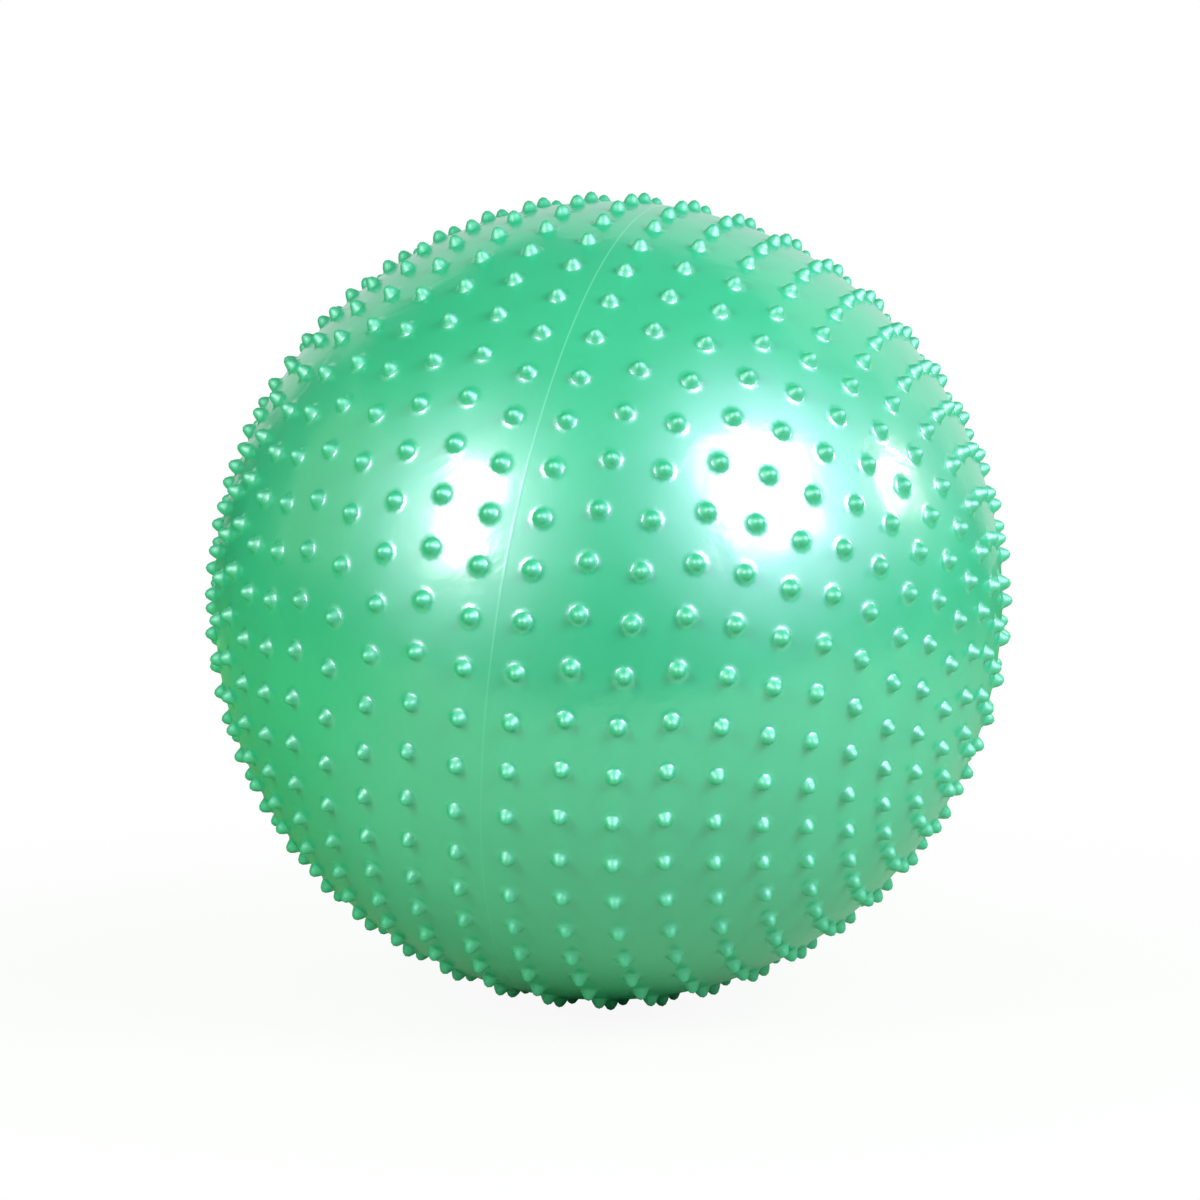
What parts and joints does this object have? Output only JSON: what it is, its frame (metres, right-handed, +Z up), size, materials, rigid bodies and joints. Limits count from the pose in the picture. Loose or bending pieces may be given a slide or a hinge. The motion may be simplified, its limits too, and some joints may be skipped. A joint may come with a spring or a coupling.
{
  "type": "massage ball",
  "caption": "Inflatable exercise ball of pearl green soft vinyl, covered with rings of soft massage spikes, with a valve socket and a push-in plug.",
  "frame": {"origin": "on the floor under the middle of the ball, which stands on its lowest spikes", "axes": "+Z up, -Y towards the viewer of the picture, +X to the viewer's right; the plain pole of the mould points along +X, dipped and turned towards -Y, and the valve pole points the other way"},
  "size_m": [0.6602, 0.6669, 0.6664],
  "materials": {
    "pearl_vinyl": "glossy pearlescent green soft vinyl",
    "socket_vinyl": "satin green soft vinyl",
    "plug_plastic": "satin off-white hard plastic"
  },
  "bodies": {
    "ball": {"ball_skin": "pearl_vinyl", "valve_insert": "socket_vinyl"},
    "plug": {"valve_plug": "plug_plastic"}
  },
  "joints": [
    {"name": "plug_pull", "type": "slide", "parent": "ball", "child": "plug", "axis": [-0.9543, 0.2646, 0.1392], "range_m": [0, 0.032]}
  ]
}
